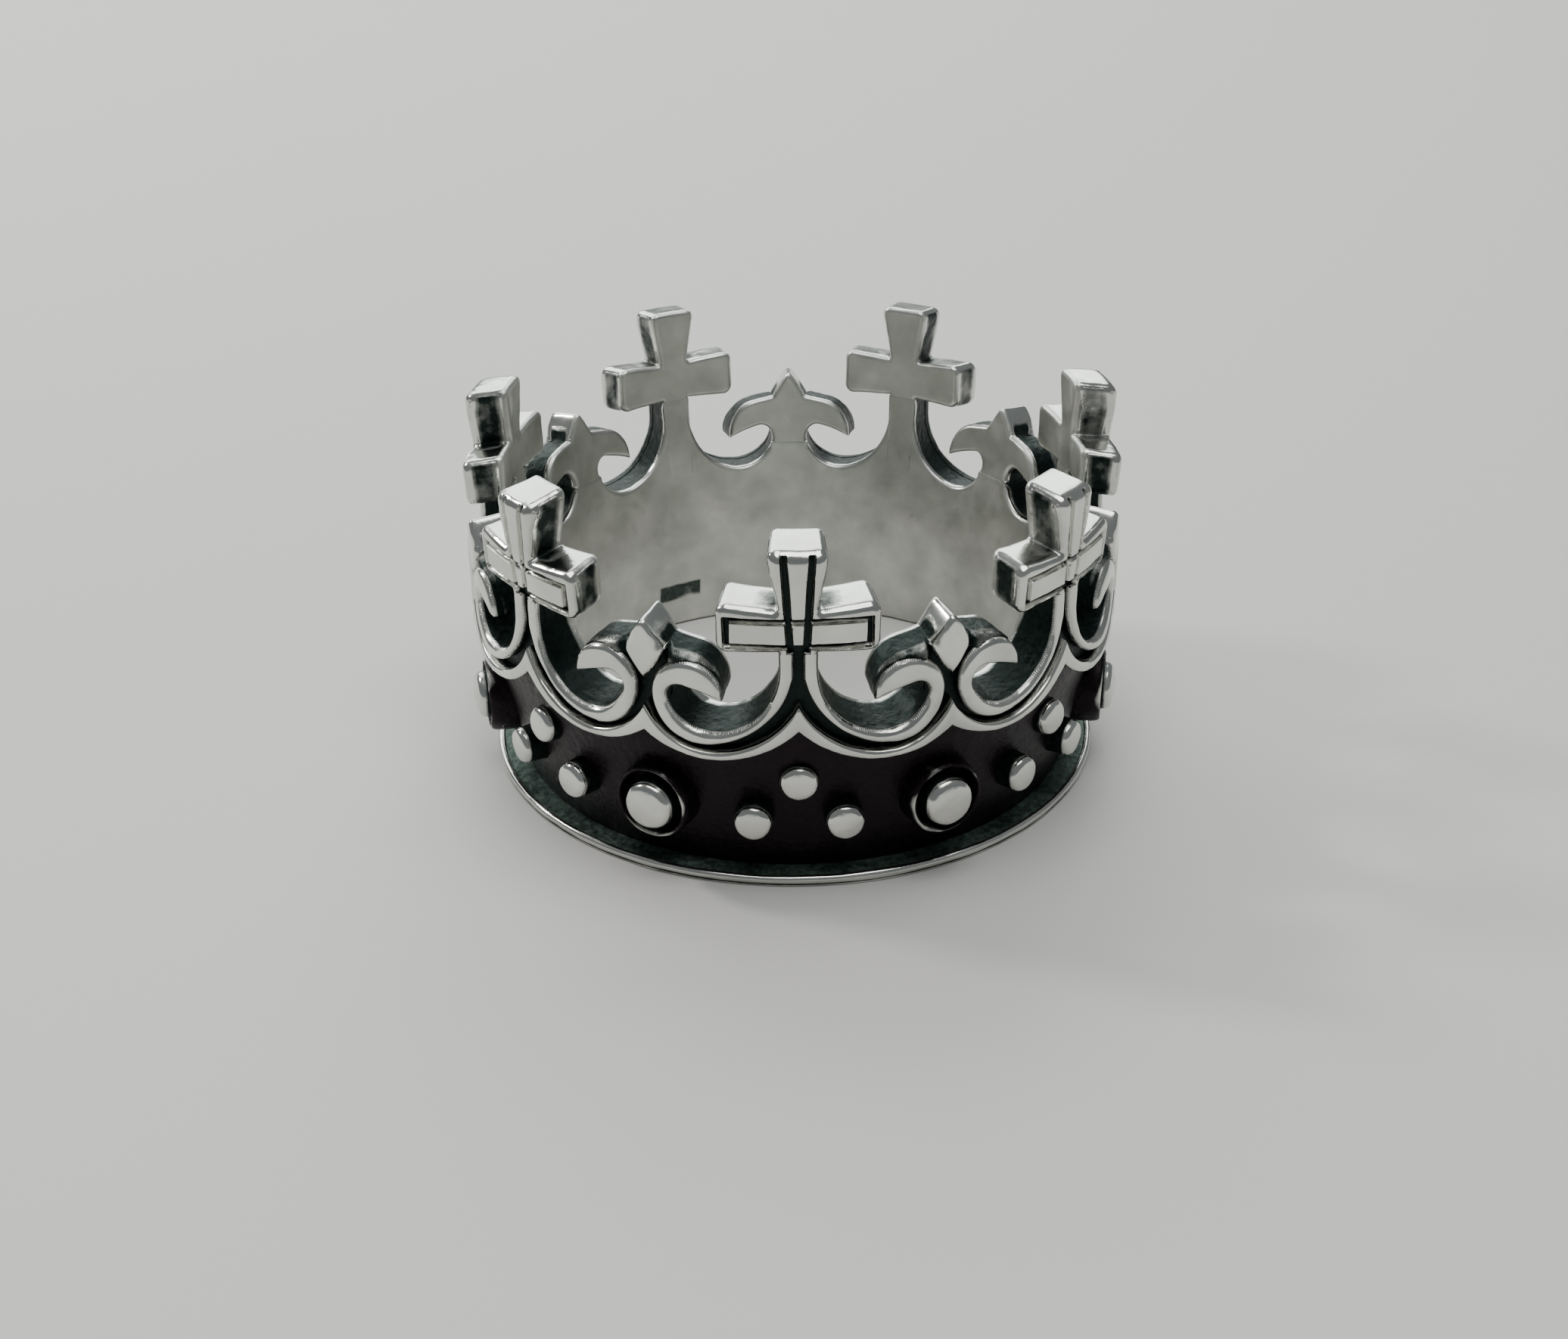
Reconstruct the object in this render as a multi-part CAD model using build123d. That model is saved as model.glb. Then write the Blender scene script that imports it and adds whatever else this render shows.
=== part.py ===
from build123d import *

import os
from math import cos, radians, sin, tan

# Finger ring in the form of a crown: seven crosses and seven fleurs-de-lis on a studded band.
#
# All sizes are in millimetres. +Z is up, the finger axis is Z, and z = 0 is the face that the ring
# stands on. Azimuth 0 is at -Y, where cross_1 faces, and it grows towards +X. Outlines are given as
# (s, z): s is the arc length from the axis of a cross, and z the height, both on the relief face. The
# cresting is cut square to its flared wall, so its cut faces rise from the front towards the finger.

# Layout round the ring
REPEATS = 7                    # crosses, and as many fleurs between them
PITCH = 360 / REPEATS          # degrees from one cross to the next
HALF_PITCH = PITCH / 2
QUARTER_PITCH = PITCH / 4      # the middle of one scroll

# Radii
BORE_RADIUS = 9.45             # inside diameter 18.9 mm, a men's size 9
CREST_BORE_RADIUS = 10.20      # inside face of the crosses
FIELD_FOOT_RADIUS = 10.03      # dark field where it meets the flange
FIELD_TOP_RADIUS = 11.08       # dark field under the border
GALLERY_RADIUS = 11.15         # front of the pierced gallery, behind the relief
RELIEF_RADIUS = 11.60          # front of the scrolls, the border and the fleur's middle petal
CROSS_FOOT_RADIUS = 11.62      # front of the crosses where they stand on the gallery
FLANGE_RADIUS = 10.80
EDGE_WIRE_OUTER_RADIUS = 11.03

# Heights
FLANGE_HEIGHT = 0.30
EDGE_WIRE_HEIGHT = 0.38
FIELD_TOP = 5.10
BORE_TOP = 4.60                # the bore is straight up to here, and flares above it
FLARE_TOP = 9.15
STEM_TOP = 9.15                # where each cross stands on the gallery
NECK_TOP = 6.98                # where each fleur stands on the gallery
FLEUR_BEVEL_FOOT = 9.60        # the tip of each fleur slopes back from here
FLEUR_TOP = 10.10
TOP = 12.74

# Slopes, in degrees
CREST_LEAN = 9.4               # rise of the cut faces of the cresting, towards the finger
CROSS_FACE_LEAN = 3.7          # outward lean of the front of the crosses

# Crosses, as half widths from their own axis
CROSS_TOP_HALF_WIDTH = 1.04
CROSS_NECK_HALF_WIDTH = 0.64
ARM_HALF_SPAN = 2.67
ARM_ROOT_TOP = 10.66
ARM_END_TOP = 10.84
ARM_END_FOOT = 9.08
CROSS_CORNER = 0.25            # rounding of the outline's outer corners
CROSS_CROOK = 0.12             # rounding between the arms and the head
CROSS_FRAME = 0.28             # border left round the sunk panels
GROOVE_WIDTH = 0.18
GROOVE_DEPTH = 0.30
PALE_TOP_HALF_WIDTH = 0.36     # raised upright bar of the cross, tapering downwards
PALE_FOOT_HALF_WIDTH = 0.17
BAR_FOOT = 9.50                # raised level bars of the cross
BAR_TOP = 10.26

# Scrolls
STEM_HALF_WIDTH = 0.64
STEM_GROOVE_HALF_WIDTH = 0.17

# Studs: level pins with a smaller peg let into the band
SMALL_STUD_RADIUS = 0.65
SMALL_STUD_FACE = 11.39
SMALL_STUD_UPPER_Z = 4.12
SMALL_STUD_LOWER_Z = 2.56
SMALL_STUD_SPREAD = 7.9        # degrees from the axis of the cross to each lower stud
LARGE_STUD_RADIUS = 0.85
LARGE_STUD_FACE = 11.83
LARGE_STUD_Z = 2.92
COLLAR_RADIUS = 1.33
COLLAR_WALL = 0.20
COLLAR_FACE = 11.37
PEG_RADIUS = 0.35
PEG_ROOT = 9.90                # blind end of the peg, measured from the finger axis
PEG_CLEARANCE = 0.01
STUD_EDGE = 0.20               # rounding of the stud's face

# Softened edges and the blank punch mark inside the band
FOOT_ROUNDING = 0.15
WIRE_DOME = 0.08               # how far the middle of the wire stands out past its edges
MARK_WIDTH = 1.90
MARK_HEIGHT = 0.80
MARK_DEPTH = 0.06
MARK_Z = 1.50
MARK_AZIMUTH = -152.0

REACH = 14.0                   # past the outside of everything
SKIRT = 1.0                    # how far a cutting shape runs past what it cuts
CEILING = TOP + SKIRT


# Outlines of one scroll, from the axis of its cross (s = 0) to the axis of its fleur. Each list is a
# run of tangent arcs, which leaves its first point at the heading named with it, in degrees from level.

FLEUR_S = radians(HALF_PITCH) * RELIEF_RADIUS
SCROLL_S = FLEUR_S / 2
PETAL_TIP = (2.50, 7.25)
NECK_SIDE = (4.36, NECK_TOP)
OPENING_EDGE = [(STEM_HALF_WIDTH, 8.40), (2.90, 6.06), NECK_SIDE]
OPENING_HEADING = -90
PETAL_UNDERSIDE = [NECK_SIDE, (3.82, 7.68), PETAL_TIP]
PETAL_UNDERSIDE_HEADING = 62
SCROLL_HEAD = [PETAL_TIP, (3.55, 8.54), (4.93, 7.35)]
SCROLL_HEAD_HEADING = 95
SCROLL_FOOT = [(4.93, 7.35), (3.15, 5.60), (STEM_GROOVE_HALF_WIDTH, 8.20)]
SCROLL_FOOT_HEADING = -88
PETAL_BACK = [PETAL_TIP, (3.60, 8.70)]
PETAL_BACK_HEADING = 95
PETAL_SHOULDER = (4.46, 8.86)
MIDDLE_PETAL_SIDE = [(FLEUR_S, 7.75), (FLEUR_S + 0.70, 8.80), (FLEUR_S, FLEUR_TOP)]
MIDDLE_PETAL_HEADING = 42
BORDER_TOP_EDGE = [(0, 7.20), (2.95, 5.37), (FLEUR_S, 6.78)]
BORDER_TOP_HEADING = -63
BORDER_FOOT_EDGE = [(0, 6.30), (2.90, 5.08), (FLEUR_S, 5.82)]
BORDER_FOOT_HEADING = -45


def facing(azimuth):
    """Upright plane through the finger axis that looks outwards at this azimuth."""
    angle = radians(azimuth)
    sideways = (cos(angle), sin(angle), 0)
    outwards = (sin(angle), -cos(angle), 0)
    return Plane(origin=(0, 0, 0), x_dir=sideways, z_dir=outwards)


def flatten(points, middle):
    """Put (s, z) points on the upright plane that faces the arc length `middle`."""
    return [(RELIEF_RADIUS * sin((s - middle) / RELIEF_RADIUS), z) for s, z in points]


def prism(sketch, azimuth):
    """Push an outline outwards from the finger axis, past everything."""
    return extrude(facing(azimuth) * sketch, amount=REACH)


def crest_prism(sketch, azimuth):
    """The same for the cresting: the outline sinks on its way out, to its own height at the relief face."""
    fall = tan(radians(CREST_LEAN))
    plane = facing(azimuth)
    start = Pos(0, 0, RELIEF_RADIUS * fall) * (plane * sketch)
    outwards = (plane.z_dir - Vector(0, 0, fall)).normalized()
    return extrude(start, amount=REACH + SKIRT, dir=outwards)


def turned(profile):
    """Revolve a closed (radius, z) profile about the finger axis."""
    section = make_face(Polyline(*[(r, 0, z) for r, z in profile], close=True))
    return revolve(section, axis=Axis.Z, revolution_arc=360)


def around(shape):
    """The same shape at each of the seven places, starting at the front."""
    return [Rot(0, 0, PITCH * place) * shape for place in range(REPEATS)]


INNER_PROFILE = [
    (BORE_RADIUS, 0), (BORE_RADIUS, BORE_TOP), (CREST_BORE_RADIUS, FLARE_TOP), (CREST_BORE_RADIUS, CEILING),
]
FIELD_PROFILE = [
    (FIELD_FOOT_RADIUS, 0), (FIELD_FOOT_RADIUS, FLANGE_HEIGHT), (FIELD_TOP_RADIUS, FIELD_TOP),
    (GALLERY_RADIUS, NECK_TOP), (GALLERY_RADIUS, CEILING),
]


def layer(inside, outside):
    """Ring-shaped solid between two profiles that both start at z = 0."""
    return turned(inside + list(reversed(outside)))


def straight(radius):
    """Profile of a plain upright wall."""
    return [(radius, 0), (radius, CEILING)]


def cross_front(depth=0):
    """Profile of the leaning front of the crosses, or of a surface this deep behind it."""
    foot = CROSS_FOOT_RADIUS - depth
    top = foot + (CEILING - STEM_TOP) * tan(radians(CROSS_FACE_LEAN))
    return [(foot, 0), (foot, STEM_TOP), (top, CEILING)]


def arcs(points, heading, middle=SCROLL_S):
    """Tangent arcs through (s, z) points, drawn on the plane that faces the arc length `middle`."""
    direction = (cos(radians(heading)), sin(radians(heading)))
    flat = flatten(points, middle)
    run = []
    for start, end in zip(flat, flat[1:]):
        arc = TangentArc(start, end, tangent=direction)
        direction = arc % 1
        run.append(arc)
    return run


def lines(points, middle=SCROLL_S):
    """Straight lines through (s, z) points, drawn on the same plane as the arcs."""
    return [Polyline(*flatten(points, middle))]


def opening_cut():
    """What is pierced out of the gallery between one stem and one neck."""
    edge = arcs(OPENING_EDGE, OPENING_HEADING)
    rest = [NECK_SIDE, (NECK_SIDE[0], CEILING), (STEM_HALF_WIDTH, CEILING), OPENING_EDGE[0]]
    return crest_prism(make_face(edge + lines(rest)), QUARTER_PITCH)


def room_above(half_width, foot, azimuth):
    """Everything above the seat of a cross or of a fleur."""
    above = Pos(0, foot) * Rectangle(2 * half_width, CEILING - foot, align=(Align.CENTER, Align.MIN))
    return crest_prism(above, azimuth)


def stem_seat():
    """What is cut off above the stem that a cross stands on."""
    return room_above(STEM_HALF_WIDTH + PEG_RADIUS, STEM_TOP, 0)


def neck_seat():
    """What is cut off above the neck that a fleur stands on."""
    return room_above(FLEUR_S - NECK_SIDE[0] + PEG_RADIUS, NECK_TOP, HALF_PITCH)


def both_hands(shape):
    """A shape and its mirror image on the other side of the cross."""
    return [shape, shape.mirror(Plane.YZ)]


def stud_places():
    """Azimuth and height of the three small studs under one cross."""
    lower = [(side * SMALL_STUD_SPREAD, SMALL_STUD_LOWER_Z) for side in (-1, 1)]
    return [(0, SMALL_STUD_UPPER_Z)] + lower


def pin(radius, root, face, azimuth, z):
    """Level pin from one radius of the ring to another."""
    plane = facing(azimuth).offset(root)
    return extrude(plane * (Pos(0, z) * Circle(radius)), amount=face - root)


def peg_hole(azimuth, z):
    """Blind hole in the band for one peg."""
    return pin(PEG_RADIUS + PEG_CLEARANCE, PEG_ROOT - PEG_CLEARANCE, REACH, azimuth, z)


def punch_mark():
    """Shallow blank mark pressed into the inside of the band."""
    blank = Pos(0, MARK_Z) * RectangleRounded(MARK_WIDTH, MARK_HEIGHT, MARK_HEIGHT / 4)
    skin = layer(straight(BORE_RADIUS - SKIRT), straight(BORE_RADIUS + MARK_DEPTH))
    return prism(blank, MARK_AZIMUTH) & skin


def make_band():
    """Sleeve with the dark field, and the pierced gallery that rises from it."""
    sleeve = layer(INNER_PROFILE, FIELD_PROFILE)
    foot_edge = sleeve.edges().filter_by(GeomType.CIRCLE).filter_by(lambda e: e.center().Z < 0.01)
    sleeve = fillet(foot_edge.sort_by(lambda e: e.radius)[0], FOOT_ROUNDING)
    pierced = [place for hand in both_hands(opening_cut()) for place in around(hand)]
    seats = around(stem_seat()) + around(neck_seat())
    holes = [place for azimuth, z in stud_places() for place in around(peg_hole(azimuth, z))]
    holes += around(peg_hole(HALF_PITCH, LARGE_STUD_Z))
    return sleeve - pierced - seats - holes - punch_mark()


def make_base_flange():
    """Flat ledge round the foot of the band."""
    inner, outer = FIELD_FOOT_RADIUS, FLANGE_RADIUS
    return turned([(inner, 0), (outer, 0), (outer, FLANGE_HEIGHT), (inner, FLANGE_HEIGHT)])


def make_edge_wire():
    """Bright wire round the ledge, domed outwards."""
    shoulder = EDGE_WIRE_OUTER_RADIUS - WIRE_DOME
    foot = Line((FLANGE_RADIUS, 0), (shoulder, 0))
    dome = ThreePointArc(foot @ 1, (EDGE_WIRE_OUTER_RADIUS, EDGE_WIRE_HEIGHT / 2), (shoulder, EDGE_WIRE_HEIGHT))
    back = Polyline(dome @ 1, (FLANGE_RADIUS, EDGE_WIRE_HEIGHT), foot @ 0)
    return revolve(Plane.XZ * make_face([foot, dome, back]), axis=Axis.Z, revolution_arc=360)


def make_scroll(relief):
    """One relief strand: down the stem, under the opening and up into the fleur's side petal."""
    outline = arcs(OPENING_EDGE, OPENING_HEADING)
    outline += arcs(PETAL_UNDERSIDE, PETAL_UNDERSIDE_HEADING)
    outline += arcs(SCROLL_HEAD, SCROLL_HEAD_HEADING)
    outline += arcs(SCROLL_FOOT, SCROLL_FOOT_HEADING)
    past = STEM_TOP + SKIRT
    outline += lines([SCROLL_FOOT[-1], (STEM_GROOVE_HALF_WIDTH, past), (STEM_HALF_WIDTH, past), OPENING_EDGE[0]])
    return (crest_prism(make_face(outline), QUARTER_PITCH) & relief) - stem_seat()


def make_scalloped_border(relief):
    """Waved strip between the dark field and the scrolls, with a cusp under each cross and fleur."""
    top_end, foot_end = BORDER_TOP_EDGE[-1], BORDER_FOOT_EDGE[-1]
    top_start, foot_start = BORDER_TOP_EDGE[0], BORDER_FOOT_EDGE[0]
    outline = arcs(BORDER_TOP_EDGE, BORDER_TOP_HEADING) + arcs(BORDER_FOOT_EDGE, BORDER_FOOT_HEADING)
    outline += lines([top_end, (FLEUR_S + SKIRT, top_end[1]), (FLEUR_S + SKIRT, foot_end[1]), foot_end])
    outline += lines([top_start, (-SKIRT, top_start[1]), (-SKIRT, foot_start[1]), foot_start])
    from_axis = (Align.NONE, Align.NONE, Align.MIN)
    wedge = Rot(0, 0, -90) * Cylinder(REACH, TOP, arc_size=HALF_PITCH, align=from_axis)
    half_wave = prism(make_face(outline), QUARTER_PITCH) & relief & wedge
    waves = [place for hand in both_hands(half_wave) for place in around(hand)]
    return waves[0].fuse(*waves[1:])


def cross_outline():
    """Cross with a flared head and slightly flared arms."""
    right = [
        (0, STEM_TOP), (CROSS_NECK_HALF_WIDTH, STEM_TOP), (ARM_HALF_SPAN, ARM_END_FOOT),
        (ARM_HALF_SPAN, ARM_END_TOP), (CROSS_NECK_HALF_WIDTH, ARM_ROOT_TOP),
        (CROSS_TOP_HALF_WIDTH, TOP), (0, TOP),
    ]
    left = [(-x, z) for x, z in reversed(right[1:-1])]
    outline = make_face(Polyline(*right, *left, close=True))
    corners = outline.vertices().filter_by(lambda v: abs(v.X) > CROSS_NECK_HALF_WIDTH + CROSS_CROOK)
    outline = fillet(corners, CROSS_CORNER)
    crooks = outline.vertices().filter_by(lambda v: 0 < abs(v.X) < CROSS_NECK_HALF_WIDTH + CROSS_CROOK)
    return fillet(crooks.filter_by(lambda v: abs(v.Y - ARM_ROOT_TOP) < CROSS_CROOK), CROSS_CROOK)


def tapered_upright(foot, foot_half_width, top_half_width):
    """Upright strip on the cross's face that narrows downwards."""
    top = TOP - CROSS_FRAME
    right = [(foot_half_width, foot), (top_half_width, top)]
    left = [(-x, z) for x, z in reversed(right)]
    return make_face(Polyline(*right, *left, close=True))


def level_panel(margin):
    """Level strip across the arms, this much larger all round than the raised bars."""
    half_span = ARM_HALF_SPAN - CROSS_FRAME - GROOVE_WIDTH + margin
    height = BAR_TOP - BAR_FOOT + 2 * margin
    return Pos(0, (BAR_TOP + BAR_FOOT) / 2) * Rectangle(2 * half_span, height)


def cross_grooves():
    """Grooves that leave the raised upright bar and the two raised level bars."""
    groove_foot = PALE_FOOT_HALF_WIDTH + GROOVE_WIDTH
    groove_top = PALE_TOP_HALF_WIDTH + GROOVE_WIDTH
    upright = tapered_upright(STEM_TOP, groove_foot, groove_top)
    pale = tapered_upright(BAR_FOOT, PALE_FOOT_HALF_WIDTH, PALE_TOP_HALF_WIDTH)
    return (level_panel(GROOVE_WIDTH) - level_panel(0)) + (upright - pale)


def make_cross():
    """One full-thickness cross, which stands on a stem of the gallery."""
    body = crest_prism(cross_outline(), 0) & layer(INNER_PROFILE, cross_front())
    skin = layer(cross_front(GROOVE_DEPTH), cross_front(-SKIRT))
    return body - (crest_prism(cross_grooves(), 0) & skin)


def fleur_outline():
    """Head of a fleur: two side petals that curl outwards and a pointed middle one."""
    top, foot = (FLEUR_S, FLEUR_TOP), (FLEUR_S, NECK_TOP)
    half = arcs(PETAL_UNDERSIDE, PETAL_UNDERSIDE_HEADING, FLEUR_S)
    half += arcs(PETAL_BACK, PETAL_BACK_HEADING, FLEUR_S)
    half += lines([PETAL_BACK[-1], PETAL_SHOULDER, top, foot, NECK_SIDE], FLEUR_S)
    left = make_face(half)
    return left + mirror(left, about=Plane.YZ)


def middle_petal():
    """Raised leaf with bulging sides on the front of a fleur, kept within the fleur's own outline."""
    side = arcs(MIDDLE_PETAL_SIDE, MIDDLE_PETAL_HEADING, FLEUR_S)
    half = make_face(side + lines([MIDDLE_PETAL_SIDE[-1], MIDDLE_PETAL_SIDE[0]], FLEUR_S))
    return (half + mirror(half, about=Plane.YZ)) & fleur_outline()


def make_fleur():
    """One full-thickness fleur head with its raised middle petal."""
    head = crest_prism(fleur_outline(), HALF_PITCH) & layer(INNER_PROFILE, FIELD_PROFILE)
    petal_front = [(RELIEF_RADIUS, 0), (RELIEF_RADIUS, FLEUR_BEVEL_FOOT), (GALLERY_RADIUS, FLEUR_TOP)]
    petal = crest_prism(middle_petal(), HALF_PITCH) & layer(straight(GALLERY_RADIUS), petal_front)
    return head + petal


def make_stud(radius, face, azimuth, z, wall):
    """Flat pin with a softened face, seated on the band, with its peg in the band."""
    head = pin(radius, PEG_ROOT, face, azimuth, z) - wall
    rim = head.edges().sort_by(lambda e: e.center().dot(facing(azimuth).z_dir))[-1]
    head = fillet(rim, STUD_EDGE)
    return head + pin(PEG_RADIUS, PEG_ROOT, face - STUD_EDGE, azimuth, z)


def make_small_studs(wall):
    """Three small studs under each cross."""
    studs = []
    for azimuth, z in stud_places():
        studs += around(make_stud(SMALL_STUD_RADIUS, SMALL_STUD_FACE, azimuth, z, wall))
    return Compound(children=studs)


def make_large_studs(wall):
    """One large stud under each fleur."""
    stud = make_stud(LARGE_STUD_RADIUS, LARGE_STUD_FACE, HALF_PITCH, LARGE_STUD_Z, wall)
    return Compound(children=around(stud))


def make_stud_collars(wall):
    """Thin raised collar round each large stud."""
    outside = pin(COLLAR_RADIUS, PEG_ROOT, COLLAR_FACE, HALF_PITCH, LARGE_STUD_Z)
    inside = pin(COLLAR_RADIUS - COLLAR_WALL, PEG_ROOT - SKIRT, REACH, HALF_PITCH, LARGE_STUD_Z)
    return Compound(children=around(outside - inside - wall))


def numbered(name, shapes):
    """Node names cross_1, cross_2 and so on."""
    return {f"{name}_{number}": shape for number, shape in enumerate(shapes, start=1)}


def build_nodes():
    """Every separate piece of the ring, by name."""
    wall = layer(straight(SKIRT), FIELD_PROFILE)
    relief = layer(FIELD_PROFILE, straight(RELIEF_RADIUS))
    right_scroll, left_scroll = both_hands(make_scroll(relief))
    nodes = {
        "band": make_band(),
        "base_flange": make_base_flange(),
        "edge_wire": make_edge_wire(),
        "scalloped_border": make_scalloped_border(relief),
        "small_studs": make_small_studs(wall),
        "large_studs": make_large_studs(wall),
        "stud_collars": make_stud_collars(wall),
    }
    nodes.update(numbered("cross", around(make_cross())))
    nodes.update(numbered("fleur", around(make_fleur())))
    nodes.update(numbered("right_scroll", around(right_scroll)))
    nodes.update(numbered("left_scroll", around(left_scroll)))
    return nodes


os.makedirs("parts", exist_ok=True)
for node, shape in build_nodes().items():
    export_step(shape, f"parts/{node}.step")
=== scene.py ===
import math

import bpy
import numpy as np
from mathutils import Matrix, Vector, noise
from mathutils.geometry import delaunay_2d_cdt


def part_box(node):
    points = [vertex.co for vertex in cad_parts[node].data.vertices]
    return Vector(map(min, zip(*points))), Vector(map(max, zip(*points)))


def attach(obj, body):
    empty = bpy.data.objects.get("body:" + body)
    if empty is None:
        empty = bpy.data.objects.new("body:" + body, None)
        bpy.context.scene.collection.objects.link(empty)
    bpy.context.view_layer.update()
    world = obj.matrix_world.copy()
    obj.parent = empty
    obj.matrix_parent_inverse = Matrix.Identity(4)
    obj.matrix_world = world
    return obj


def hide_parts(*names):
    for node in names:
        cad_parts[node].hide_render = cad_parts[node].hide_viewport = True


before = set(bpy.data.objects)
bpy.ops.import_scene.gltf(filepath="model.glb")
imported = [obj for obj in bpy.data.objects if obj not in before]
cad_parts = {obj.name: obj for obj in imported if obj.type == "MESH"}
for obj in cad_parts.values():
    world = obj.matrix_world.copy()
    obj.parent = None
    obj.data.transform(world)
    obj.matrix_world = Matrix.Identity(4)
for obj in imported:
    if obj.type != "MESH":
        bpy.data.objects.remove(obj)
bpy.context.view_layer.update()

# A silver finger ring in the form of a crown. Shapes are drawn unrolled, in millimetres, as (s, z, r):
# s is the arc length from the axis of a cross and z the height, both measured on the relief face, and r
# is the distance from the finger axis. wrap() rolls them up into the row frame, in metres.

MM = 0.001


def node_box(name):
    """A CAD node's lowest and highest corners, in millimetres."""
    low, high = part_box(name)
    return low / MM, high / MM


# Sizes read from the frame

band_high = node_box("band")[1]
cross_high = node_box("cross_1")[1]
fleur_low, fleur_high = node_box("fleur_1")
flange_high = node_box("base_flange")[1]
wire_high = node_box("edge_wire")[1]

REPEATS = sum(name.startswith("cross_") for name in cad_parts)
PITCH = 2 * math.pi / REPEATS
RELIEF_R = node_box("scalloped_border")[1].x
GALLERY_R = band_high.y
ARM_HALF_SPAN = cross_high.x
FLANGE_R = flange_high.x
FLANGE_TOP = flange_high.z
WIRE_R = wire_high.x
WIRE_TOP = wire_high.z
FLEUR_S = RELIEF_R * PITCH / 2

# The rest of the ring's own sizes, as in the CAD part

BORE_R, CREST_BORE_R = 9.45, 10.20
BORE_TOP, FLARE_TOP = 4.60, 9.15
CREST_LEAN = math.tan(math.radians(9.4))       # rise of the cresting's cut faces towards the finger
CROSS_FACE_LEAN = math.tan(math.radians(3.7))  # outward lean of the crosses' faces
CREST_RISE = (RELIEF_R - CREST_BORE_R) * CREST_LEAN
STEM_TOP = band_high.z - CREST_RISE
TOP = cross_high.z - CREST_RISE
FLEUR_TOP = fleur_high.z - CREST_RISE
NECK_TOP = fleur_low.z - (RELIEF_R - GALLERY_R) * CREST_LEAN
FIELD_FOOT_R, FIELD_TOP_R, FIELD_TOP = 10.03, 11.08, 5.10
FOOT_ROUNDING = 0.15
CROSS_TOP_HALF, CROSS_NECK_HALF = 1.04, 0.64
ARM_ROOT_TOP, ARM_END_TOP, ARM_END_FOOT = 10.66, 10.84, 9.08
CROSS_FOOT_R, CROSS_CROOK = 11.62, 0.12
STEM_HALF, STEM_GROOVE_HALF = 0.64, 0.17
CROSS_FRAME, GROOVE_WIDTH = 0.28, 0.18
PALE_TOP_HALF, PALE_FOOT_HALF = 0.36, 0.17
BAR_FOOT, BAR_TOP = 9.50, 10.26
SMALL_STUD_R, SMALL_UPPER_Z, SMALL_LOWER_Z, SMALL_SPREAD = 0.65, 4.12, 2.56, 7.9
LARGE_STUD_R, LARGE_Z = 0.85, 2.92
COLLAR_R, COLLAR_WALL, COLLAR_FACE = 1.33, 0.20, 11.37
MARK_ANGLE, MARK_Z, MARK_WIDTH, MARK_HEIGHT, MARK_DEPTH = -152.0, 1.50, 1.90, 0.80, 0.06

# Wear and softness, which the CAD part leaves out or has less of

LEAN_FOOT, LEAN_FULL = 4.50, 6.00              # heights between which the lean sets in
CROSS_CORNER, GROOVE_DEPTH = 0.33, 0.24
HEAD_FOOT = 11.60                              # upward walls below here are the arms', above it the tops'
PETAL_HALF, PETAL_FOOT, PETAL_WAIST = 0.74, 7.75, 8.85
TIP_BLUNTING = 0.20
SMALL_RIM, SMALL_EDGE, SMALL_DOME = 11.32, 0.24, 0.06
LARGE_RIM, LARGE_EDGE, LARGE_DOME = 11.75, 0.28, 0.07
STUD_ROOT = 0.25                               # depth of a stud's or collar's root in the band
STUD_TILT = 0.07                               # most that a stud leans about each axis, in radians
BORDER_ROUNDING, OPENING_ROUNDING = 0.12, 0.13
LIP_TOP = 0.08                                 # top of the wire's lip, where its round begins

# Runs of tangent arcs, each with the heading at which it leaves its first point, in degrees

PETAL_TIP = (2.50, 7.25)
NECK_SIDE = (4.36, NECK_TOP)
STEM_FOOT = 8.40       # the stems' sides are straight above here
OPENING_EDGE = ([(STEM_HALF, STEM_FOOT), (2.90, 6.06), NECK_SIDE], -90)
PETAL_UNDERSIDE = ([NECK_SIDE, (3.82, 7.68), PETAL_TIP], 62)
SCROLL_HEAD = ([PETAL_TIP, (3.55, 8.54), (4.93, 7.35)], 95)
SCROLL_FOOT = ([(4.93, 7.35), (3.15, 5.60), (STEM_GROOVE_HALF, 8.20)], -88)
PETAL_BACK = ([PETAL_TIP, (3.60, 8.70)], 95)
PETAL_SHOULDER = (4.46, 8.86)
BORDER_TOP_EDGE = ([(0, 7.20), (2.95, 5.37), (FLEUR_S, 6.78)], -63)
BORDER_FOOT_EDGE = ([(0, 6.30), (2.90, 5.08), (FLEUR_S, 5.82)], -45)

STEP = 0.07            # spacing of points along an outline
BAND_STEP = 0.10       # the same, round the band's openings
CAP_STEP = 0.12        # the same, where another piece covers the band's top
BORDER_STEP = 0.05     # the same, for the border's edges
BORDER_STATIONS = 90   # sections of the border in half a repeat
RING_STATIONS = 420    # sections of the ledge and of the edge wire
FINE = 0.075           # spacing of points inside a face
EDGE_ROWS = (0.006, 0.022, 0.05, 0.09, 0.14, 0.20, 0.27, 0.35)   # rows of points inside a face's edge
SEAM = 0.02            # how far one piece sinks into the next, so that no gap shows
FLOOR_GAP = 0.002      # the lowest point of any piece above the floor
SHARP_EDGE = 0.01      # rounding along the band's back where another piece joins it
BAND_WAIST = 4.9       # the band's sections are upright below here and fan out to its top edge above


# Curves and distances in the unrolled plane


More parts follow.
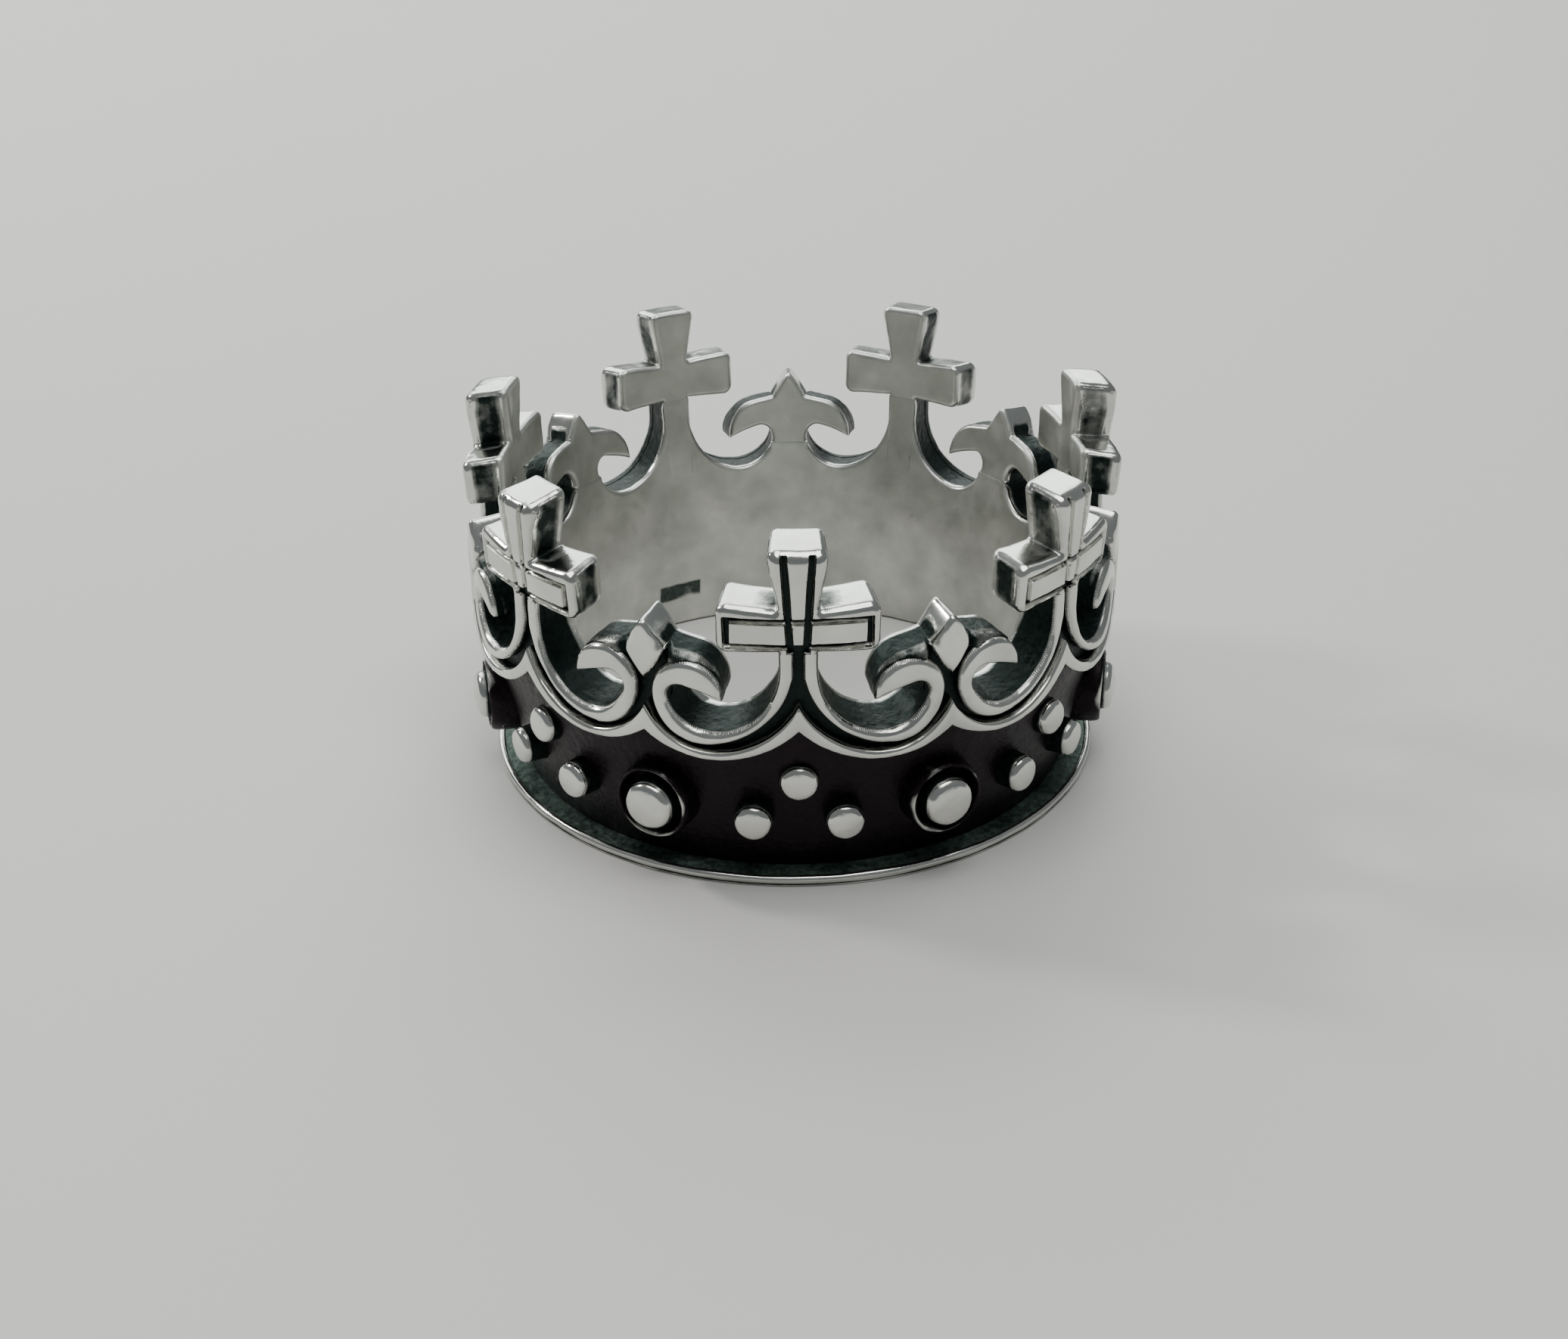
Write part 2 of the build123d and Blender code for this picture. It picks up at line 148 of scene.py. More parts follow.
def arc_run(run, step=STEP):
    """Points along tangent arcs."""
    points, heading = run[0], math.radians(run[1])
    out = [np.array(points[0], float)]
    for start, end in zip(points, points[1:]):
        start = np.array(start, float)
        chord = np.array(end, float) - start
        reach = float(np.hypot(*chord))
        bend = (math.atan2(chord[1], chord[0]) - heading + math.pi) % (2 * math.pi) - math.pi
        count = max(2, round(reach / step))
        for k in range(1, count + 1):
            part = k / count
            length = reach * (math.sin(bend * part) / math.sin(bend) if abs(bend) > 1e-6 else part)
            angle = heading + bend * part
            out.append(start + length * np.array((math.cos(angle), math.sin(angle))))
        heading += 2 * bend
    return np.array(out)


def line_run(points, step=STEP):
    """Points along straight lines."""
    out = [np.array(points[0], float)]
    for start, end in zip(points, points[1:]):
        start, end = np.array(start, float), np.array(end, float)
        count = max(1, round(float(np.hypot(*(end - start))) / step))
        out += [start + (end - start) * k / count for k in range(1, count + 1)]
    return np.array(out)


def rounded(corners, radii):
    """A closed outline with its corners softened; a radius of 0 keeps the corner."""
    corners = [np.array(corner, float) for corner in corners]
    out = []
    for i, (corner, radius) in enumerate(zip(corners, radii)):
        if radius == 0:
            out.append(corner)
            continue
        before, after = corners[i - 1] - corner, corners[(i + 1) % len(corners)] - corner
        start = corner + before / np.hypot(*before) * radius
        end = corner + after / np.hypot(*after) * radius
        for part in np.linspace(0, 1, 7):
            bow = (1 - part) ** 2 * start + 2 * part * (1 - part) * corner + part ** 2 * end
            out.append(0.65 * bow + 0.35 * (start + (end - start) * part))
    return np.array(out)


def joined(*runs):
    """One closed outline from runs that follow each other, without repeated points."""
    points = np.concatenate(runs)
    keep = np.hypot(*(points - np.roll(points, 1, axis=0)).T) > STEP * 0.05
    return points[keep]


def distance(points, starts, ends):
    """Shortest distance from each point to any of the segments."""
    best = np.full(len(points), np.inf)
    for a, b in zip(starts, ends):
        along = b - a
        part = np.clip(((points - a) @ along) / max(along @ along, 1e-12), 0, 1)
        best = np.minimum(best, np.hypot(*(points - a - part[:, None] * along).T))
    return best


def inside(points, outline):
    """Which points lie within a closed outline."""
    odd = np.zeros(len(points), bool)
    for (ax, az), (bx, bz) in zip(outline, np.roll(outline, -1, axis=0)):
        crosses = (az > points[:, 1]) != (bz > points[:, 1])
        at = ax + (points[:, 1] - az) * (bx - ax) / ((bz - az) or 1e-12)
        odd ^= crosses & (points[:, 0] < at)
    return odd


def signed(points, outline):
    """Distance to a closed outline, negative inside it."""
    outline = np.array(outline, float)
    gap = distance(points, outline, np.roll(outline, -1, axis=0))
    return np.where(inside(points, outline), -gap, gap)


def smooth_step(value, low, high):
    part = np.clip((value - low) / (high - low), 0, 1)
    return part * part * (3 - 2 * part)


def rounding(gap, radius):
    """How far a face drops at this distance from its rounded edge."""
    near = np.clip(radius - gap, 0, radius)
    return radius - np.sqrt(radius * radius - near * near)


def lean_at(z, r):
    """How far the cresting's lean raises a point."""
    return (RELIEF_R - r) * CREST_LEAN * smooth_step(z, LEAN_FOOT, LEAN_FULL)


def inner_r(z):
    """Radius inside the ring, at the height to which the lean raises the point."""
    slope = (CREST_BORE_R - BORE_R) / (FLARE_TOP - BORE_TOP)
    r = BORE_R
    for _ in range(4):
        raised = z + lean_at(z, r)
        r = BORE_R + slope * (soft_ramp(raised - BORE_TOP) - soft_ramp(raised - FLARE_TOP))
    return r


def soft_ramp(height, blend=1.5):
    """0 below zero and the height itself above, with a soft bend between."""
    return np.where(np.abs(height) < blend, (height + blend) ** 2 / (4 * blend), np.maximum(height, 0))


def field_r(z):
    heights = [0, FLANGE_TOP, FIELD_TOP, NECK_TOP]
    return np.interp(z, heights, [FIELD_FOOT_R, FIELD_FOOT_R, FIELD_TOP_R, GALLERY_R])


# Meshes


def wrap(points, azimuth):
    """Roll (s, z, r) millimetres up into the row frame, in metres."""
    angle = points[:, 0] / RELIEF_R + azimuth
    x, y = points[:, 2] * np.sin(angle), -points[:, 2] * np.cos(angle)
    return np.stack([x, y, points[:, 1] + lean_at(points[:, 1], points[:, 2])], axis=1) * MM


def cast_surface(mesh, roughness):
    """Move the surface in and out as casting and hand finishing leave it.

    A slow wave covers everything. `roughness` is the extra grain at each vertex, in millimetres.
    """
    count = len(mesh.vertices)
    spots = np.zeros(count * 3)
    normals = np.zeros(count * 3)
    mesh.vertices.foreach_get("co", spots)
    mesh.vertices.foreach_get("normal", normals)
    spots, normals = spots.reshape(-1, 3), normals.reshape(-1, 3)
    shift = np.zeros(count)
    for i in range(count):
        spot = Vector(spots[i]) / MM
        wave = noise.noise(spot * 0.9) * 0.022 + noise.noise(spot * 2.6) * 0.010
        shift[i] = wave + roughness[i] * (noise.noise(spot * 5.0) + 0.6 * noise.noise(spot * 11.0))
    moved = spots + normals * (shift * MM)[:, None]
    moved[:, 2] = np.maximum(moved[:, 2], FLOOR_GAP * MM)
    mesh.vertices.foreach_set("co", moved.ravel())


def make_piece(name, points, faces, patina, roughness, materials, material_of=None, sharp=40):
    """A mesh object with its patina stored on it, riding on the ring."""
    mesh = bpy.data.meshes.new(name)
    mesh.from_pydata(points.tolist(), [], faces)
    mesh.update()
    cast_surface(mesh, roughness)
    mesh.update()
    layer = mesh.attributes.new("patina", "FLOAT", "POINT")
    layer.data.foreach_set("value", np.asarray(patina, float))
    for material in materials:
        mesh.materials.append(material)
    if material_of is not None:
        mesh.polygons.foreach_set("material_index", material_of)
    mesh.shade_smooth()
    mesh.set_sharp_from_angle(angle=math.radians(sharp))
    piece = bpy.data.objects.new(name, mesh)
    bpy.context.scene.collection.objects.link(piece)
    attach(piece, "root")
    return piece


def ring_faces(stations, rows):
    """Quads of a closed sweep: `stations` round the ring and `rows` round the section."""
    faces = []
    for i in range(stations):
        following = (i + 1) % stations
        for j in range(rows):
            above = (j + 1) % rows
            faces.append((i * rows + j, following * rows + j, following * rows + above, i * rows + above))
    return faces


def both_halves(half):
    """Stations of one whole repeat, from the half between a cross and the next fleur."""
    mirrored = half[1:-1][::-1].copy()
    mirrored[..., 0] = 2 * FLEUR_S - mirrored[..., 0]
    return np.concatenate([half, mirrored])


def all_round(repeat):
    """The stations of one repeat, copied round the ring. The arc length keeps growing."""
    rounds = []
    for k in range(REPEATS):
        copy = repeat.copy()
        copy[..., 0] += 2 * FLEUR_S * k
        rounds.append(copy)
    return np.concatenate(rounds)


class Plate:
    """A piece cut to an outline, with a shaped front and back and a wall between them.

    `free` marks the outline's points that no other piece covers; the faces round off towards those.
    `front` and `back` give radius and patina from the points and their distance to that free edge,
    and `wall` gives the wall's patina and painted highlight from the outline and its normals.
    """

    def __init__(self, outline, free, rows, front, back, wall, wall_rows):
        area = np.sum(outline[:, 0] * np.roll(outline[:, 1], -1) - np.roll(outline[:, 0], -1) * outline[:, 1])
        if area < 0:
            outline, free = outline[::-1], free[::-1]
        self.outline = outline
        after = np.roll(outline, -1, axis=0)
        shown = free & np.roll(free, -1)
        self.edge = (outline[shown], after[shown])
        points, faces = self.fill(after, rows)
        gap = distance(points, *self.edge)
        self.front_r, self.patina_front = front(points, gap)
        self.back_r, self.patina_back = back(points, gap)
        along = after - np.roll(self.outline, 1, axis=0)
        normals = np.stack([along[:, 1], -along[:, 0]], axis=1) / np.hypot(*along.T)[:, None]
        self.patina_wall = wall(self.outline, normals)
        self.build(points, faces, wall_rows)

    def fill(self, after, rows):
        """Triangles over the outline, with rows of points along its edge and along inner features."""
        along = after - self.outline
        normal = np.stack([-along[:, 1], along[:, 0]], axis=1)
        normal /= np.hypot(*normal.T)[:, None]
        middles = (self.outline + after) / 2
        extra = []
        for offset in EDGE_ROWS:
            line = middles + normal * offset
            gap = distance(line, self.outline, after)
            extra.append(line[(gap > offset * 0.98) & inside(line, self.outline)])
        extra += rows
        feature = np.concatenate(extra)
        low, high = self.outline.min(0), self.outline.max(0)
        across = np.arange(low[0], high[0], FINE)
        up = np.arange(low[1], high[1], FINE * 0.87)
        grid = np.array([(x + FINE / 2 * (j % 2), z) for j, z in enumerate(up) for x in across])
        grid = grid[inside(grid, self.outline)]
        grid = grid[distance(grid, self.outline, after) > EDGE_ROWS[-1] + FINE * 0.4]
        if rows:
            marks = np.concatenate(rows)
            far = [np.hypot(*(marks - spot).T).min() > FINE * 0.45 for spot in grid]
            grid = grid[np.array(far, bool)]
        points = np.concatenate([self.outline, feature, grid])
        loop = [list(range(len(self.outline)))]
        result = delaunay_2d_cdt([Vector(p) for p in points], [], loop, 1, 1e-6)
        return np.array([tuple(v) for v in result[0]]), [tuple(f) for f in result[2]]

    def build(self, points, faces, wall_rows):
        count = len(points)
        order = [int(np.argmin(np.hypot(*(points - corner).T))) for corner in self.outline]
        turned = []
        for face in faces:
            a, b, c = (points[i] for i in face[:3])
            ccw = (b[0] - a[0]) * (c[1] - a[1]) - (b[1] - a[1]) * (c[0] - a[0]) > 0
            turned.append(face if ccw else face[::-1])
        blocks = [np.column_stack([points, self.front_r]), np.column_stack([points, self.back_r])]
        patina = [self.patina_front, self.patina_back]
        loops = [order]
        for row in range(1, wall_rows):
            part = row / wall_rows
            r = self.front_r[order] * (1 - part) + self.back_r[order] * part
            loops.append(list(range(2 * count + (row - 1) * len(order), 2 * count + row * len(order))))
            blocks.append(np.column_stack([points[order], r]))
            wear = float(smooth_step(np.minimum(part, 1 - part), -0.10, 0.22))
            patina.append(self.patina_wall * wear)
        loops.append([i + count for i in order])
        all_faces = turned + [tuple(i + count for i in face[::-1]) for face in turned]
        for upper, lower in zip(loops, loops[1:]):
            for i in range(len(order)):
                j = (i + 1) % len(order)
                all_faces.append((upper[i], lower[i], lower[j], upper[j]))
        self.points = np.concatenate(blocks)
        self.faces = all_faces
        self.kinds = np.zeros(len(all_faces), int)
        self.kinds[len(turned):2 * len(turned)] = 1
        self.patina = np.concatenate(patina)

    def place(self, node, azimuth, mirrored=False):
        """One copy of the plate, standing for a CAD node. Its back is satin."""
        points, faces = self.points.copy(), self.faces
        if mirrored:
            points[:, 0] *= -1
            faces = [face[::-1] for face in faces]
        roughness = 0.016 * smooth_step(self.patina, 0.35, 0.8)
        piece = make_piece(node + "_visual", wrap(points, azimuth), faces, self.patina, roughness,
                           [POLISHED, SATIN], self.kinds)
        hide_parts(node)


def feature_rows(outline, offsets, accept):
    """Points along the sides of an inner feature, at small distances either side of them."""
    outline = line_run([*outline, outline[0]], STEP)[:-1]
    after = np.roll(outline, -1, axis=0)
    along = after - outline
    normal = np.stack([-along[:, 1], along[:, 0]], axis=1) / np.hypot(*along.T)[:, None]
    rows = []
    for offset in offsets:
        line = (outline + after) / 2 + normal * offset
        rows.append(line[accept(line)])
    return rows


# Materials

TARNISH_SCALE, BLOTCH_SCALE, PIT_SCALE, GRAIN_SCALE, SCRATCH_SCALE = 420, 900, 3300, 5200, 7000   # per metre
BUMP_DEPTH = 0.08


def new_material(name):
    material = bpy.data.materials.new(name)
    material.use_nodes = True
    nodes = material.node_tree.nodes
    return material, nodes, material.node_tree.links, nodes["Principled BSDF"]


def noise_node(nodes, links, where, scale, detail):
    node = nodes.new("ShaderNodeTexNoise")
    node.inputs["Scale"].default_value = scale
    node.inputs["Detail"].default_value = detail
    node.inputs["Roughness"].default_value = 0.55
    links.new(where, node.inputs["Vector"])
    return node.outputs["Fac"]


def ramp_node(nodes, links, value, stops):
    node = nodes.new("ShaderNodeValToRGB")
    ramp = node.color_ramp
    while len(ramp.elements) < len(stops):
        ramp.elements.new(0.5)
    for element, (place, colour) in zip(ramp.elements, stops):
        element.position = place
        element.color = (*colour, 1)
    links.new(value, node.inputs["Fac"])
    return node.outputs["Color"]


def range_node(nodes, links, value, old, new):
    node = nodes.new("ShaderNodeMapRange")
    node.inputs["From Min"].default_value, node.inputs["From Max"].default_value = old
    node.inputs["To Min"].default_value, node.inputs["To Max"].default_value = new
    links.new(value, node.inputs["Value"])
    return node.outputs["Result"]


def math_node(nodes, links, operation, a, b):
    node = nodes.new("ShaderNodeMath")
    node.operation = operation
    for socket, value in zip(node.inputs, (a, b)):
        if isinstance(value, (int, float)):
            socket.default_value = value
        else:
            links.new(value, socket)
    return node.outputs["Value"]


def mix_colour(nodes, links, factor, a, b):
    node = nodes.new("ShaderNodeMix")
    node.data_type = "RGBA"
    links.new(factor, node.inputs["Factor"])
    links.new(a, node.inputs[6])
    links.new(b, node.inputs[7])
    return node.outputs[2]


def mix_value(nodes, links, factor, a, b):
    node = nodes.new("ShaderNodeMix")
    links.new(factor, node.inputs["Factor"])
    links.new(a, node.inputs[2])
    links.new(b, node.inputs[3])
    return node.outputs[0]


def silver(name, bright, dark, bright_rough, dark_rough, threshold, brushed=False):
    """Silver with oxidised recesses. The piece's patina, broken up by noise, chooses between the two.

    `bright` and `dark` are pairs of colours, the two `_rough` pairs are their ranges of roughness, and
    `threshold` is the range of patina over which bright turns to dark.
    """
    material, nodes, links, shader = new_material(name)
    where = nodes.new("ShaderNodeTexCoord").outputs["Object"]
    stored = nodes.new("ShaderNodeAttribute")
    stored.attribute_name = "patina"
    blotches = noise_node(nodes, links, where, BLOTCH_SCALE, 6)
    grain = noise_node(nodes, links, where, GRAIN_SCALE, 3)
    spread = math_node(nodes, links, "MULTIPLY", math_node(nodes, links, "SUBTRACT", blotches, 0.5), 0.9)
    amount = math_node(nodes, links, "ADD", stored.outputs["Fac"], spread)
    amount = range_node(nodes, links, amount, threshold, (0, 1))

    tarnish = noise_node(nodes, links, where, TARNISH_SCALE, 5)
    bright_colour = ramp_node(nodes, links, tarnish, [(0.30, bright[0]), (0.70, bright[1])])
    dark_colour = ramp_node(nodes, links, grain, [(0.25, dark[0]), (0.75, dark[1])])
    links.new(mix_colour(nodes, links, amount, bright_colour, dark_colour), shader.inputs["Base Color"])
    shader.inputs["Specular IOR Level"].default_value = 0.25
    links.new(range_node(nodes, links, amount, (0, 1), (1.0, 0.55)), shader.inputs["Metallic"])

    shine = range_node(nodes, links, blotches, (0.3, 0.7), bright_rough)
    dull = range_node(nodes, links, grain, (0.3, 0.7), dark_rough)
    links.new(mix_value(nodes, links, amount, shine, dull), shader.inputs["Roughness"])

    scratch_where = where
    if brushed:
        stretch = nodes.new("ShaderNodeMapping")
        stretch.inputs["Scale"].default_value = (0.25, 0.25, 3.0)
        links.new(where, stretch.inputs["Vector"])
        scratch_where = stretch.outputs["Vector"]
    scratches = noise_node(nodes, links, scratch_where, SCRATCH_SCALE, 3)
    pits = noise_node(nodes, links, where, PIT_SCALE, 5)
    rough_height = math_node(nodes, links, "MULTIPLY", pits, math_node(nodes, links, "ADD", amount, 0.06))
    scratch_height = math_node(nodes, links, "MULTIPLY", scratches, 0.06)
    height = math_node(nodes, links, "ADD", scratch_height, rough_height)
    bump = nodes.new("ShaderNodeBump")
    bump.inputs["Strength"].default_value = 0.55
    bump.inputs["Distance"].default_value = BUMP_DEPTH * MM
    links.new(height, bump.inputs["Height"])
    links.new(bump.outputs["Normal"], shader.inputs["Normal"])
    return material


POLISHED = silver(
    "Polished silver",
    bright=((0.54, 0.54, 0.51), (0.72, 0.72, 0.68)), dark=((0.002, 0.006, 0.005), (0.012, 0.025, 0.022)),
    bright_rough=(0.12, 0.24), dark_rough=(0.32, 0.56), threshold=(0.35, 0.75))
SATIN = silver(
    "Satin silver",
    bright=((0.42, 0.43, 0.40), (0.70, 0.70, 0.66)), dark=((0.02, 0.03, 0.03), (0.08, 0.10, 0.09)),
    bright_rough=(0.27, 0.52), dark_rough=(0.40, 0.60), threshold=(0.45, 0.80), brushed=True)
FIELD = silver(
    "Oxidised field",
    bright=((0.50, 0.50, 0.47), (0.66, 0.66, 0.62)), dark=((0.006, 0.003, 0.005), (0.015, 0.009, 0.012)),
    bright_rough=(0.22, 0.34), dark_rough=(0.30, 0.44), threshold=(0.20, 0.55))
# Painted light: the teal oxide is the ledge's own colour, but its dark colours are made lighter than the
# oxide elsewhere. This stands in for light on the ledge, which sits in shade under the flaring field.
LEDGE_PAINTED_LIGHTER = silver(
    "Oxidised ledge, painted lighter",
    bright=((0.40, 0.43, 0.41), (0.58, 0.60, 0.57)), dark=((0.020, 0.042, 0.036), (0.16, 0.22, 0.19)),
    bright_rough=(0.25, 0.40), dark_rough=(0.36, 0.62), threshold=(0.25, 0.60))


# Band: dark field outside, satin inside, and the pierced gallery


def band_top():
    """Top edge of the band over half a repeat: stem, opening and neck."""
    across = line_run([(0, STEM_TOP), (STEM_HALF - SEAM, STEM_TOP)], CAP_STEP)
    down = line_run([(STEM_HALF - SEAM, STEM_TOP), (STEM_HALF - SEAM, STEM_FOOT)], BAND_STEP)
    curve = arc_run(OPENING_EDGE, BAND_STEP)
    neck = line_run([(NECK_SIDE[0] + SEAM, NECK_TOP), (FLEUR_S, NECK_TOP)], CAP_STEP)
    curve = curve + opening_inset(curve)
    return np.concatenate([across, down[1:], curve[1:-1], neck])


def opening_inset(curve):
    """Step from the opening's edge into the metal."""
    along = np.gradient(curve, axis=0)
    normal = np.stack([along[:, 1], -along[:, 0]], axis=1)
    return normal / np.hypot(*normal.T)[:, None] * SEAM


def make_band():
    """One closed mesh: a section through the band at each point of its top edge, swept round."""
    edge = band_top()
    along = np.gradient(edge, axis=0)
    into = np.stack([along[:, 1], -along[:, 0]], axis=1)
    into /= np.hypot(*into.T)[:, None]
    length = np.concatenate([[0], np.cumsum(np.hypot(*np.diff(edge, axis=0).T))])
    feet = 0.5 * edge[:, 0] + 0.5 * FLEUR_S * length / length[-1]
    from_joint = np.minimum(np.abs(length - STEM_HALF), length[-1] - length - (FLEUR_S - NECK_SIDE[0]))
    joint = (length < STEM_HALF) | (from_joint < 0)
    softened = np.maximum(OPENING_ROUNDING * smooth_step(from_joint, 0, 0.25), SHARP_EDGE)
    edge_rounding = np.where(joint, SHARP_EDGE, softened)
    half = np.array([band_section(*row) for row in zip(edge, into, feet, edge_rounding)])

    stations = all_round(both_halves(half))
    count, rows = stations.shape[:2]
    points, patina, layer = np.split(stations.reshape(-1, 5), (3, 4), axis=1)
    points, patina, layer = points.copy(), patina[:, 0].copy(), layer[:, 0].astype(int)
    press_mark(points, patina)
    kinds = np.tile(half[0, :, 4].astype(int), count)
    kinds[(kinds == 0) & (points[:, 1] > border_middle(points[:, 0]))] = 2
    roughness = np.where(layer == 2, 0.020, 0.002)
    piece = make_piece("band_visual", wrap(points, 0), ring_faces(count, rows), patina, roughness,
                       [FIELD, SATIN, POLISHED], kinds)
    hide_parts("band")


def band_section(top, into, foot_s, rounded_by):
    """One closed section of the band, as rows of (s, z, r, patina, material).

    It runs up the outside to the top edge, over the edge, whose back is rounded, and down the inside.
    """
    s, z = top
    waist = np.array((foot_s, BAND_WAIST))
    rows = []
    for height in np.concatenate([[0.0], np.linspace(FLANGE_TOP, BAND_WAIST, 22)]):
        rows.append((foot_s, height, field_r(height), 1.0, 0))
    for part in np.linspace(0, 1, 16)[1:]:
        at = waist + (top - waist) * part
        rows.append((*at, field_r(at[1]), 1.0, 0))
    front, back = float(field_r(z)), float(inner_r(z))
    for part in (0.15, 0.35, 0.6, 0.8):
        rows.append((s, z, front + (back + rounded_by - front) * part, 0.95, 2))
    for turn in (0, 30, 60):
        drop = 1 - math.cos(math.radians(90 - turn))
        step = 1 - math.sin(math.radians(90 - turn))
        at = top + into * rounded_by * step
        worn = 0.25 if rounded_by > SHARP_EDGE else 0.6
        rows.append((*at, back + rounded_by * drop, worn, 2 if turn == 0 else 1))
    inner = top + into * rounded_by
    for part in np.linspace(1, 0, 16)[:-1]:
        at = waist + (inner - waist) * part
        rows.append((*at, inner_r(at[1]), 0.0, 1))
    for height in np.linspace(BAND_WAIST, FOOT_ROUNDING, 34):
        rows.append((foot_s, height, inner_r(height), 0.0, 1))
    for turn in (30, 60, 90):
        drop = FOOT_ROUNDING * math.sin(math.radians(turn))
        step = FOOT_ROUNDING * (1 - math.cos(math.radians(turn)))
        rows.append((foot_s, FOOT_ROUNDING - drop, BORE_R + step, 0.1, 1))
    return np.array(rows, float)


def border_middle(s):
    """Height of the middle of the scalloped border at this arc length."""
    from_cross = np.abs((s + FLEUR_S) % (2 * FLEUR_S) - FLEUR_S)
    edges = (arc_run(run) for run in (BORDER_TOP_EDGE, BORDER_FOOT_EDGE))
    return np.mean([np.interp(from_cross, edge[:, 0], edge[:, 1]) for edge in edges], axis=0)


def press_mark(points, patina):
    """The blank punch mark inside the band."""
    centre = (math.radians(MARK_ANGLE) % (2 * math.pi)) * RELIEF_R
    across = (points[:, 0] - centre) * BORE_R / RELIEF_R
    up = points[:, 1] - MARK_Z
    over = np.maximum(np.abs(across) - MARK_WIDTH / 2, np.abs(up) - MARK_HEIGHT / 2)
    on_bore = np.abs(points[:, 2] - BORE_R) < 0.001
    sunk = on_bore * (1 - smooth_step(over, -0.12, 0.06))
    points[:, 2] += MARK_DEPTH * sunk
    patina[:] = np.maximum(patina, 0.85 * sunk)


# Strips that run right round: border, ledge and edge wire


def strip_section(low, high):
    """Rounded section of the border from its low edge to its high edge, as (s, z, r, patina)."""
    along = high - low
    width = float(np.hypot(*along))
    unit = along / width
    edge = min(BORDER_ROUNDING, width * 0.48)
    low_base, high_base = (float(field_r(point[1])) - SEAM for point in (low, high))
    middle = (low_base + RELIEF_R) / 2
    rows = [(*low, low_base, 0.9), (*low, middle, 0.75)]
    for start, inward, turns in ((low, unit, (0, 30, 60, 90)), (high, -unit, (90, 60, 30, 0))):
        for turn in turns:
            step = edge * (1 - math.cos(math.radians(turn)))
            rise = edge * math.sin(math.radians(turn))
            rows.append((*(start + inward * step), RELIEF_R - edge + rise, 0.30 - turn / 300))
    rows += [(*high, middle, 0.75), (*high, high_base, 0.9)]
    return np.array(rows, float)


def make_border():
    """Scalloped strip. Its two edges are stepped together, so that its cusps stay sharp."""
    top, foot = arc_run(BORDER_TOP_EDGE, BORDER_STEP), arc_run(BORDER_FOOT_EDGE, BORDER_STEP)
    parts = np.linspace(0, 1, BORDER_STATIONS)
    half = np.array([strip_section(point_at(foot, part), point_at(top, part)) for part in parts])
    stations = all_round(both_halves(half))
    points = stations.reshape(-1, 4)
    piece = make_piece("scalloped_border_visual", wrap(points[:, :3], 0), ring_faces(*stations.shape[:2]),
                       points[:, 3], np.full(len(points), 0.004), [POLISHED], sharp=60)
    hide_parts("scalloped_border")


def point_at(line, part):
    """The point this share of the way along a line."""
    length = np.concatenate([[0], np.cumsum(np.hypot(*np.diff(line, axis=0).T))])
    spot = part * length[-1]
    return np.array((np.interp(spot, length, line[:, 0]), np.interp(spot, length, line[:, 1])))


def make_turned(name, section, roughness, material, sharp=50):
    """A ring turned from a closed section of (r, z, patina)."""
    stations = []
    for k in range(RING_STATIONS):
        s = 2 * math.pi * RELIEF_R * k / RING_STATIONS
        stations.append([(s, z, r) for r, z, _ in section])
    points = wrap(np.array(stations).reshape(-1, 3), 0)
    faces = ring_faces(RING_STATIONS, len(section))
    patina = np.tile([dark for _, _, dark in section], RING_STATIONS)
    piece = make_piece(name + "_visual", points, faces, patina, np.tile(roughness, RING_STATIONS), [material],
                       sharp=sharp)
    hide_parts(name)


def make_base_flange():
    """Rough ledge, set a little below the top of its CAD node."""
    inner, outer = FIELD_FOOT_R - SEAM, FLANGE_R + SEAM
    ledge = [(r, FLANGE_TOP - 0.015, 1.0) for r in np.linspace(outer, inner, 12)]
    section = [(inner, 0.0, 1.0), (outer, 0.0, 1.0)] + ledge
    roughness = [0.0, 0.0] + [0.022] * len(ledge)
    make_turned("base_flange", section, roughness, LEDGE_PAINTED_LIGHTER)


def make_edge_wire():
    """Bright wire with a fine lip below it."""
    middle, reach = FLANGE_R - SEAM, WIRE_R - FLANGE_R + SEAM
    tall = (WIRE_TOP - LIP_TOP) / 2
    section = [(middle, 0.0, 0.8), (WIRE_R - 0.09, 0.0, 0.3), (WIRE_R - 0.05, 0.03, 0.1),
               (WIRE_R - 0.055, 0.06, 0.5), (WIRE_R - 0.075, 0.075, 1.0)]
    for turn in range(-75, 181, 15):
        angle = math.radians(turn)
        r = middle + reach * (0.45 + 0.55 * math.cos(angle))
        z = WIRE_TOP - tall + tall * math.sin(angle)
        section.append((r, z, 0.05 if turn < 120 else 0.5))
    make_turned("edge_wire", section, [0.003] * len(section), POLISHED, sharp=70)


# Scrolls


def scroll_outline():
    """Right strand: down the stem, under the opening, round the petal and back to the stem."""
    opening, under, head, foot = map(arc_run, (OPENING_EDGE, PETAL_UNDERSIDE, SCROLL_HEAD, SCROLL_FOOT))
    top = [(STEM_GROOVE_HALF, STEM_TOP), (STEM_HALF, STEM_TOP)]
    stem = line_run([SCROLL_FOOT[0][-1], *top, OPENING_EDGE[0][0]])
    return joined(opening, under[1:], head[1:], foot[1:], stem[1:-1])


def make_scroll_plate():
    outline = scroll_outline()
    free = outline[:, 1] < STEM_TOP - 1e-6

    def front(points, gap):
        return RELIEF_R - rounding(gap, 0.20), 0.5 * (1 - smooth_step(gap, 0.0, 0.08))

    def back(points, gap):
        return field_r(points[:, 1]) - SEAM, np.full(len(points), 1.0)

    def wall(points, _normals):
        return np.full(len(points), 0.9)

    return Plate(outline, free, [], front, back, wall, 4)


# Crosses


